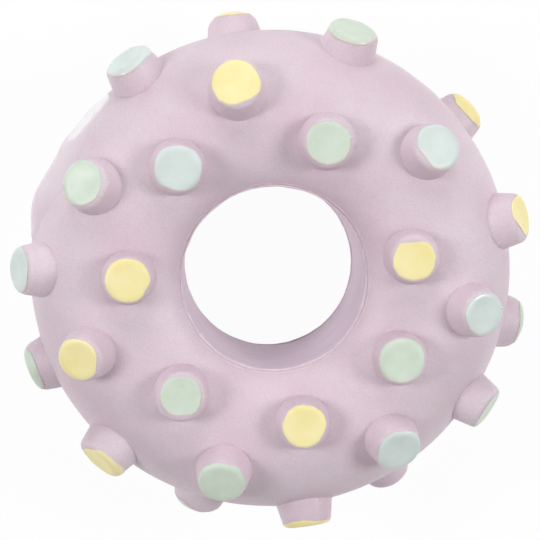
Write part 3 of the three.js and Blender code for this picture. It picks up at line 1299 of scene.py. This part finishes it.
@dataclass
class Squeaker:
    """The plastic bulb with a whistle in its neck, under the filling hole."""

    filler: Matrix
    depth: float = 3 * MM
    fit: float = 0.15 * MM
    gap: float = 0.3 * MM
    bulb_radius: float = 7.5 * MM
    bulb_length: float = 12 * MM
    bulb_rounding: float = 3 * MM
    bulb_wall: float = 0.7 * MM
    neck_length: float = 3 * MM
    neck_fillet: float = 0.48 * MM
    bore: float = 2.5 * MM
    whistle_wall: float = 0.7 * MM
    whistle_length: float = 7 * MM
    flange: float = 0.6 * MM
    reed_length: float = 6 * MM
    reed_thickness: float = 0.25 * MM
    clamp_length: float = 1.2 * MM
    groove_width: float = 1.4 * MM
    groove_depth: float = 1.1 * MM
    edge: float = 0.12 * MM
    steps: int = 64

    def __post_init__(self) -> None:
        """Works out the radii, and the heights along the filling hole's axis from the skin's surface."""
        self.flange_top = -self.depth
        self.flange_bottom = self.flange_top - self.flange
        self.neck_top = self.flange_bottom - self.fit
        self.bulb_top = self.neck_top - self.neck_length
        self.bulb_bottom = self.bulb_top - self.bulb_length
        self.reed_top = self.flange_top - self.gap
        self.reed_side = self.reed_thickness / 2 + self.fit
        self.whistle_radius = self.bore + self.whistle_wall
        self.neck_bore = self.whistle_radius + self.fit
        self.neck_radius = self.neck_bore + self.bulb_wall

    def side(self, margin: float) -> Outline:
        """Lists the points of the bulb's rounded side from its bottom to its shoulder.

        Args:
            margin: How far the side is grown.

        Returns:
            Points by distance from the axis and height.
        """
        rounding = self.bulb_rounding + margin
        out = self.bulb_radius + margin - rounding
        low = self.bulb_bottom - margin + rounding
        high = self.bulb_top + margin - rounding
        bends = [math.radians(angle) for angle in range(0, 91, 10)]
        lower = [(out + rounding * math.sin(bend), low - rounding * math.cos(bend)) for bend in bends]
        upper = [(out + rounding * math.cos(bend), high + rounding * math.sin(bend)) for bend in bends]
        return lower + upper

    def bulb(self) -> Piece:
        """Models the hollow bulb with its neck.

        Returns:
            The bulb, in the filling hole's frame.
        """
        outline = [(0.0, self.bulb_bottom), *self.side(0.0)]
        outline += [(self.neck_radius + self.neck_fillet, self.bulb_top)]
        outline += [(self.neck_radius, self.bulb_top + self.neck_fillet)]
        outline += [(self.neck_radius, self.neck_top - self.edge)]
        outline += [(self.neck_radius - self.edge, self.neck_top)]
        outline += [(self.neck_bore, self.neck_top), (self.neck_bore, self.bulb_top - self.bulb_wall)]
        outline += [*reversed(self.side(-self.bulb_wall)), (0.0, self.bulb_bottom + self.bulb_wall)]
        return spun("squeaker_bulb_blown", outline, self.steps)

    def whistle(self) -> Piece:
        """Models the whistle's tube with its flange.

        Returns:
            The tube, in the filling hole's frame.
        """
        bottom = self.flange_top - self.whistle_length
        outline = [(self.bore, bottom), (self.whistle_radius - self.edge, bottom)]
        outline += [(self.whistle_radius, bottom + self.edge), (self.whistle_radius, self.flange_bottom)]
        outline += [(self.neck_radius - self.edge, self.flange_bottom)]
        outline += [(self.neck_radius, self.flange_bottom + self.edge)]
        outline += [(self.neck_radius, self.flange_top - self.edge)]
        outline += [(self.neck_radius - self.edge, self.flange_top)]
        outline += [(self.bore + self.edge, self.flange_top), (self.bore, self.flange_top - self.edge)]
        return spun("whistle_tube_moulded", outline, self.steps)

    def half_round(self, name: str, length: float, turn: float, *grooves: Piece) -> Piece:
        """Models a half-round bar in the whistle's bore, flat towards the reed.

        Args:
            name: The new piece's name.
            length: How long the bar is.
            turn: The angle about the axis at which it lies.
            *grooves: What is cut out of it.

        Returns:
            The bar, in the filling hole's frame.
        """
        bar = new_piece(bpy.ops.mesh.primitive_cylinder_add, name, vertices=self.steps,
                        radius=self.bore - self.fit, depth=length,
                        location=(0, 0, self.reed_top - length / 2))
        with edit_mode(bar):
            bpy.ops.mesh.bisect(plane_co=(0, self.reed_side, 0), plane_no=(0, 1, 0), use_fill=True,
                                clear_inner=True)
        bar.data.transform(Matrix.Rotation(turn, 4, "Z"))
        close_up(bar)
        for groove in grooves:
            combine(bar, "DIFFERENCE", groove)
        finish_with(bar, "BEVEL", width=self.edge, segments=2, limit_method="ANGLE")
        return bar

    def seat(self) -> Piece:
        """Models the bar with a groove that the reed lies on.

        Returns:
            The reed's seat, in the filling hole's frame.
        """
        groove = new_piece(bpy.ops.mesh.primitive_cube_add, "groove", size=1)
        size = Matrix.Diagonal((self.groove_width, 2 * self.groove_depth, 2 * self.reed_length, 1))
        place = Matrix.Translation((0, -self.reed_side, self.reed_top - self.reed_length / 2))
        groove.data.transform(place @ size)
        return self.half_round("reed_seat_moulded", self.reed_length, math.pi, groove)

    def clamp(self) -> Piece:
        """Models the short bar that holds the reed's end, in the filling hole's frame."""
        return self.half_round("reed_clamp_moulded", self.clamp_length, turn=0.0)

    def pocket(self) -> Piece:
        """Models the room that the squeaker takes in the wadding, open to the filling hole.

        Returns:
            The pocket.
        """
        neck = self.neck_radius + self.gap
        outline = [(0.0, self.bulb_bottom - self.gap), *self.side(self.gap), (neck, self.bulb_top + self.gap)]
        outline += [(neck, self.depth), (0.0, self.depth)]
        pocket = spun("pocket", outline, self.steps)
        pocket.data.transform(self.filler)
        return pocket

    def build(self) -> None:
        """Models the squeaker's pieces in their places and dresses them and the reed."""
        soft = PlasticFinish("soft_plastic", (240, 239, 232), roughness=0.5)
        hard = PlasticFinish("hard_plastic", (233, 231, 224), roughness=0.4)
        materials = {finish.name: finish.material() for finish in (soft, hard)}
        pieces = {
            "squeaker_bulb": (self.bulb, soft),
            "whistle_tube": (self.whistle, hard),
            "reed_seat": (self.seat, hard),
            "reed_clamp": (self.clamp, hard),
        }
        for node, (model, finish) in pieces.items():
            piece = model()
            piece.data.transform(self.filler)
            crisp_shaded(piece)
            keep(piece, materials[finish.name], finish.name, node)
        film = PlasticFinish("reed_film", (201, 204, 209), roughness=0.3)
        dress(frame["nodes"]["squeaker_reed"], film.material())
        LOG.info("squeaker_reed: dressed")


@dataclass
class Wadding:
    """The loose filling of the ring, with a pocket for the squeaker."""

    section: RingSection
    points: int = 60
    steps: int = 96
    inset: float = 2.0 * MM
    voxel: float = 0.8 * MM
    tuft_size: float = 5 * MM
    tuft_depth: float = 0.9 * MM

    def build(self, pocket: Piece) -> None:
        """Models the filling and dresses it.

        Args:
            pocket: The room that is left for the squeaker.
        """
        wadding = self.section.ring("wadding_fill", self.inset, self.points, self.steps)
        combine(wadding, "DIFFERENCE", pocket)
        finish_with(wadding, "REMESH", mode="VOXEL", voxel_size=self.voxel, adaptivity=0.0)
        finish_with(wadding, "SMOOTH", factor=0.5, iterations=4)
        roughen(wadding, "tufts", self.tuft_size, -self.tuft_depth, level=0.0)
        smooth_shaded(wadding)
        keep(wadding, WaddingFinish().material(), "wadding", "polyester_wadding")


@dataclass(frozen=True)
class Lamp:
    """A soft square lamp: its place from the ring's middle, its side, and its power in watts."""

    name: str
    place: Triple
    size: float
    power: float


@dataclass
class Studio:
    """The pale floor, the soft lamps and the camera at the photograph's angle."""

    middle: Vector
    from_above: float = math.radians(8)
    from_left: float = math.radians(3)
    distance: float = 366 * MM
    lens: float = 160.0
    aim_right: float = -0.13 * MM
    floor_size: float = 6.0
    floor_shade: float = 0.92
    floor_glow: float = 0.55
    floor_white: float = 0.95
    world_glow: float = 0.14
    lamps: tuple[Lamp, ...] = (
        Lamp("top", (-0.05, 0.85, 0.35), 0.5, 3.15),
        Lamp("left", (-0.66, 0.1, 0.55), 0.28, 3.4),
        Lamp("right", (0.66, 0.1, 0.55), 0.28, 3.5),
        Lamp("front", (0.0, -0.45, 0.75), 0.5, 0.95),
    )

    @staticmethod
    def seen(tree: bpy.types.NodeTree) -> Socket:
        """Adds the test for rays that show a surface itself, directly or in gloss and glass.

        Args:
            tree: The node tree of the floor or the world.

        Returns:
            1 for such a ray, otherwise 0.
        """
        path = tree.nodes.new("ShaderNodeLightPath")
        total = path.outputs["Is Camera Ray"]
        for name in ("Is Glossy Ray", "Is Transmission Ray"):
            both = tree.nodes.new("ShaderNodeMath")
            both.operation = "MAXIMUM"
            tree.links.new(total, both.inputs[0])
            tree.links.new(path.outputs[name], both.inputs[1])
            total = both.outputs[0]
        return total

    def floor(self) -> None:
        """Lays a white floor that keeps a faint shadow."""
        plane = new_piece(bpy.ops.mesh.primitive_plane_add, "floor", size=self.floor_size)
        shader = Shader("floor")
        shader.set(Base_Color=(self.floor_shade, self.floor_shade, self.floor_shade, 1), Roughness=0.9)
        glow = shader.node("ShaderNodeEmission", {"Color": (1, 1, 1, 1), "Strength": 1.0})
        share = shader.ramp(self.seen(shader.tree), 0.0, 1.0, self.floor_glow, self.floor_white)
        mix = shader.node("ShaderNodeMixShader", {0: share, 1: shader.surface.outputs[0], 2: glow.outputs[0]})
        shader.feed(shader.tree.nodes["Material Output"].inputs["Surface"], mix.outputs[0])
        dress(plane, shader.material)

    def light(self) -> None:
        """Hangs the lamps, which look at the toy, and sets the world's soft light."""
        for lamp in self.lamps:
            data = bpy.data.lights.new(lamp.name, "AREA")
            data.size = lamp.size
            data.energy = lamp.power
            hung = bpy.data.objects.new(lamp.name, data)
            hung.location = self.middle + Vector(lamp.place)
            hung.rotation_euler = (-Vector(lamp.place)).to_track_quat("-Z", "Y").to_euler()
            bpy.context.scene.collection.objects.link(hung)
        world = bpy.data.worlds.new("studio")
        bpy.context.scene.world = world
        world.use_nodes = True
        tree = world.node_tree
        shown = tree.nodes.new("ShaderNodeMapRange")
        shown.inputs["To Min"].default_value = self.world_glow
        tree.links.new(self.seen(tree), shown.inputs["Value"])
        tree.links.new(shown.outputs["Result"], tree.nodes["Background"].inputs["Strength"])
        tree.nodes["Background"].inputs["Color"].default_value = (1, 1, 1, 1)

    def camera(self) -> None:
        """Sets the camera in front of the ring, a little above and to the left of its axis."""
        tilt = Matrix.Rotation(self.from_above, 3, "X") @ Matrix.Rotation(self.from_left, 3, "Y")
        right, up, back = (Vector(row) for row in tilt)
        data = bpy.data.cameras.new("camera")
        data.lens = self.lens
        camera = bpy.data.objects.new("camera", data)
        place = self.middle + right * self.aim_right + back * self.distance
        camera.matrix_world = Matrix.Translation(place) @ Matrix((right, up, back)).transposed().to_4x4()
        bpy.context.scene.collection.objects.link(camera)
        bpy.context.scene.camera = camera
        bpy.context.scene.view_settings.view_transform = "Standard"


@dataclass
class Toy:
    """The whole toy: its skin, paint, patch, seams, filling and squeaker."""

    section: RingSection = field(default_factory=RingSection)
    crisp: NubForm = NubForm()
    worn: NubForm = NubForm(edge=1.3 * MM)

    def __post_init__(self) -> None:
        """Reads the places of the nubs from the frame."""
        self.flat_spot = FlatSpot(self.section)
        self.middle = Vector((0, 0, self.section.middle_height))
        self.places = []
        for part in frame["record"]["subparts"]:
            node = part["node"]
            if "_tip_" in node:
                form = self.worn if node.startswith("back_rim") else self.crisp
                self.places.append(NubPlace.read(node, part["material_slot"], form, self.section))

    def build(self) -> None:
        """Builds and dresses every piece."""
        patch = FillerPatch(self.section, self.flat_spot)
        skin = LatexSkin(self.section, self.flat_spot, self.places)
        skin.build(patch.frame())
        self.paint(skin.piece)
        patch.build()
        self.seams()
        squeaker = Squeaker(patch.frame())
        Wadding(self.section).build(squeaker.pocket())
        squeaker.build()

    def paint(self, skin: Piece) -> None:
        """Puts a dab of paint on each nub.

        Args:
            skin: The finished skin.
        """
        finishes = (
            PaintFinish(Paint.YELLOW, (250, 238, 180), (246, 231, 160)),
            PaintFinish(Paint.GREEN, (214, 226, 211), (203, 217, 199)),
            PaintFinish(Paint.AQUA, (218, 228, 225), (207, 219, 215)),
        )
        materials = {finish.paint.value: finish.material() for finish in finishes}
        for number, place in enumerate(self.places):
            dab = PaintDab(place, DAB_SHAPES.get(place.node, DabShape()), number)
            dab.build(skin, materials[place.slot])

    def seams(self) -> None:
        """Puts the lines of the casting along the hole's edges."""
        seams = {
            "front_seam": CastingSeam(self.section, Side.FRONT, half_width=0.19 * MM, nick_height=0.2 * MM),
            "front_lip": CastingSeam(self.section, Side.FRONT, half_width=0.12 * MM, outward=0.42 * MM,
                                     lift=0.42 * MM),
            "back_seam": CastingSeam(self.section, Side.BACK, half_width=0.12 * MM, wander=0.04 * MM),
        }
        # The seams' pale latex is a painted highlight.
        pale = SeamFinish().material()
        for name, seam in seams.items():
            seam.build(name, pale)


def main() -> None:
    """Builds the toy, the studio and the camera."""
    logging.basicConfig(level=logging.INFO, format="%(name)s: %(message)s")
    toy = Toy()
    toy.build()
    studio = Studio(toy.middle)
    studio.floor()
    studio.light()
    studio.camera()


if __name__ == "__main__":
    main()
